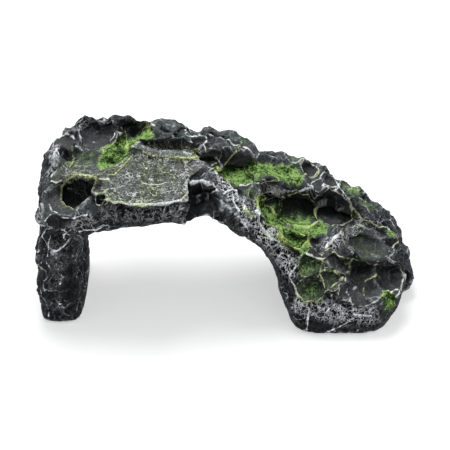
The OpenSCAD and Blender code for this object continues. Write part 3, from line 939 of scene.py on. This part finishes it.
def dry_brush(tree, rest):
    """How much dry-brushed paint there is: on ridges, rims, cell edges and fine networks of lines."""
    plate, network, edge = (attribute(tree, name) for name in ("plate", "network", "edge"))
    dabs = map_range(tree, noise(tree, rest, 1.7, 3, 0.7, seed=19.0), 0.34, 0.60)
    breaks = map_range(tree, noise(tree, rest, 6, 4, 0.65, seed=17.0), 0.47, 0.57)
    grains = map_range(tree, noise(tree, rest, 1.3, 2, 0.6, seed=21.0), 0.52, 0.62)
    worn = math_node(tree, "ADD", times(tree, dabs, 0.5), 0.6, clamp=True)
    smooth = math_node(tree, "MAXIMUM", plate, times(tree, attribute(tree, "hollow"), 0.8))
    broad = map_range(tree, noise(tree, rest, 30, 3, 0.6, seed=27.0), 0.38, 0.58, 0.3, 1.0)
    bare = times(tree, math_node(tree, "SUBTRACT", 1.0, smooth), broad)
    facing_up = map_range(tree, attribute(tree, "up"), -0.3, 0.5, 0.35, 0.9)

    ridge = times(tree, map_range(tree, attribute(tree, "ridge"), 0.90, 0.40), worn)
    rim = times(tree, times(tree, attribute(tree, "rim"), breaks), times(tree, worn, 0.8))
    scallop = map_range(tree, cell_edges(tree, rest, *SCALLOPS), 0.50, 0.12)
    wide = times(tree, times(tree, scallop, breaks), times(tree, bare, times(tree, worn, facing_up)))
    pocks = map_range(tree, cell_edges(tree, rest, *POCKS), 0.38, 0.10)
    small = times(tree, times(tree, pocks, dabs), times(tree, math_node(tree, "ADD", network, 0.1), bare))
    long_cracks, short_cracks = veins(tree, rest, 5, 0.020, 31.0), veins(tree, rest, 3.5, 0.018, 33.0)
    crack = math_node(tree, "MAXIMUM", long_cracks, short_cracks)
    dense = times(tree, crack, times(tree, network, worn))
    coarse, fine = veins(tree, rest, 5, 0.022, 35.0), veins(tree, rest, 3.5, 0.022, 37.0)
    crazed = math_node(tree, "MAXIMUM", coarse, fine)
    crazed = times(tree, crazed, math_node(tree, "ADD", times(tree, breaks, 0.6), 0.2))
    crackle = times(tree, math_node(tree, "MAXIMUM", crazed, times(tree, grains, 0.15)), plate)
    brushed = times(tree, times(tree, edge, grains), times(tree, network, 0.5))
    paint = ridge
    for layer in (rim, wide, small, dense, crackle, brushed):
        paint = math_node(tree, "MAXIMUM", paint, layer, clamp=True)
    # The paint is dimmed in the painted shade
    return times(tree, paint, math_node(tree, "SUBTRACT", 1.0, times(tree, attribute(tree, "shade"), 0.75)))


def paint_colour(tree, mottle):
    """White, and lime on lime ridges, among the green and on parts of the plates."""
    among_green = map_range(tree, attribute(tree, "green"), 0.15, 0.7)
    plain = math_node(tree, "SUBTRACT", attribute(tree, "plate"), attribute(tree, "pale"), clamp=True)
    tint = math_node(tree, "MAXIMUM", attribute(tree, "ridge_lime"), among_green)
    tint = math_node(tree, "MAXIMUM", tint, times(tree, plain, map_range(tree, mottle, 0.4, 0.6, 0.0, 0.6)))
    return mix(tree, tint, WHITE_PAINT, LIME_PAINT)


def painted_resin():
    material, tree, shader = new_material("painted_resin")
    rest = attribute(tree, "rest", "Vector")
    mottle = noise(tree, rest, 12, 5, 0.65, seed=11.0)
    paint = dry_brush(tree, rest)
    colour = airbrushed(tree, rest, base_coat(tree, rest, mottle))
    colour = mix(tree, paint, colour, paint_colour(tree, mottle))
    speck = map_range(tree, noise(tree, rest, 0.9, 2, 0.8, seed=25.0), 0.35, 0.65, 0.6, 1.3)
    link(tree, mix(tree, 1.0, colour, speck, "MULTIPLY"), shader.inputs["Base Color"])
    link(tree, map_range(tree, mottle, 0.3, 0.7, 0.5, 0.7), shader.inputs["Roughness"])
    shader.inputs["Specular IOR Level"].default_value = 0.06
    height = math_node(tree, "ADD", noise(tree, rest, 1.1, 4, 0.65, seed=23.0), times(tree, paint, 0.5))
    link(tree, bump(tree, height, 0.5 * MM), shader.inputs["Normal"])
    return material


def flocked_moss():
    material, tree, shader = new_material("flocked_moss")
    rest = attribute(tree, "rest", "Vector")
    link(tree, moss_colour(tree, rest), shader.inputs["Base Color"])
    shader.inputs["Roughness"].default_value = 0.95
    shader.inputs["Specular IOR Level"].default_value = 0.0
    shader.inputs["Sheen Weight"].default_value = 0.08
    shader.inputs["Sheen Roughness"].default_value = 0.6
    shader.inputs["Sheen Tint"].default_value = (0.45, 0.60, 0.15, 1)
    link(tree, bump(tree, noise(tree, rest, 0.5, 3, 0.8, seed=57.0), 0.5 * MM), shader.inputs["Normal"])
    return material


def foam_rubber():
    material, tree, shader = new_material("foam_rubber")
    rest = attribute(tree, "rest", "Vector")
    pores = map_range(tree, noise(tree, rest, 0.35, 2, 0.5, seed=61.0), 0.42, 0.58)
    link(tree, mix(tree, pores, FOAM_PORE, FOAM_SKIN), shader.inputs["Base Color"])
    shader.inputs["Roughness"].default_value = 0.9
    link(tree, bump(tree, pores, 0.15 * MM), shader.inputs["Normal"])
    return material


# ---------------------------------------------------------------- camera, floor and light

VIEW_HEIGHT = math.radians(30)
VIEW_DISTANCE = 0.9
LENS = 112.5
AIM = Vector(place(48.93, 57.5, 40))
FLOOR_HALF = 3.0
LIT_MIDDLE = (0, 0, 0.05)


def camera():
    data = bpy.data.cameras.new("camera")
    data.lens = LENS
    holder = bpy.data.objects.new("camera", data)
    back = Vector((0, -math.cos(VIEW_HEIGHT), math.sin(VIEW_HEIGHT)))
    holder.location = AIM + back * VIEW_DISTANCE
    holder.rotation_euler = (math.pi / 2 - VIEW_HEIGHT, 0, 0)
    bpy.context.scene.collection.objects.link(holder)
    bpy.context.scene.camera = holder


def softbox(name, spot, size, power):
    """A round soft light that faces the middle of the object."""
    data = bpy.data.lights.new(name, "AREA")
    data.shape, data.size, data.energy = "DISK", size, power
    holder = bpy.data.objects.new(name, data)
    holder.location = spot
    holder.rotation_euler = (Vector(LIT_MIDDLE) - Vector(spot)).to_track_quat("-Z", "Y").to_euler()
    bpy.context.scene.collection.objects.link(holder)


def studio():
    mesh = bpy.data.meshes.new("floor")
    corners = [(x * FLOOR_HALF, y * FLOOR_HALF, 0) for x, y in ((-1, -1), (1, -1), (1, 1), (-1, 1))]
    mesh.from_pydata(corners, [], [(0, 1, 2, 3)])
    floor = new_piece("floor", mesh)
    material, _, shader = new_material("pale_floor")
    shader.inputs["Base Color"].default_value = (0.6, 0.6, 0.6, 1)
    shader.inputs["Roughness"].default_value = 0.9
    shader.inputs["Emission Color"].default_value = (1, 1, 1, 1)
    shader.inputs["Emission Strength"].default_value = 0.5
    mesh.materials.append(material)
    softbox("overhead", (-0.10, 0.30, 0.9), 0.6, 7.5)
    softbox("front_fill", (0.3, -0.9, 0.8), 0.8, 1.5)
    world = bpy.data.worlds.new("studio")
    world.use_nodes = True
    sky = world.node_tree.nodes["Background"].inputs
    sky["Color"].default_value = (0.97, 0.985, 1, 1)
    sky["Strength"].default_value = 0.55
    bpy.context.scene.world = world
    bpy.context.scene.view_settings.view_transform = "Standard"


rock, near_moss, shade = sculpted_rock()
finished_piece("cast_rock", rock, painted_resin(), "rock_arch")
moss, foam = flocked_moss(), foam_rubber()
for node in MOSS_NODES:
    moss_piece(node, rock, near_moss[node], shade, moss)
for node in PAD_NODES:
    pad_piece(node, foam)
camera()
studio()
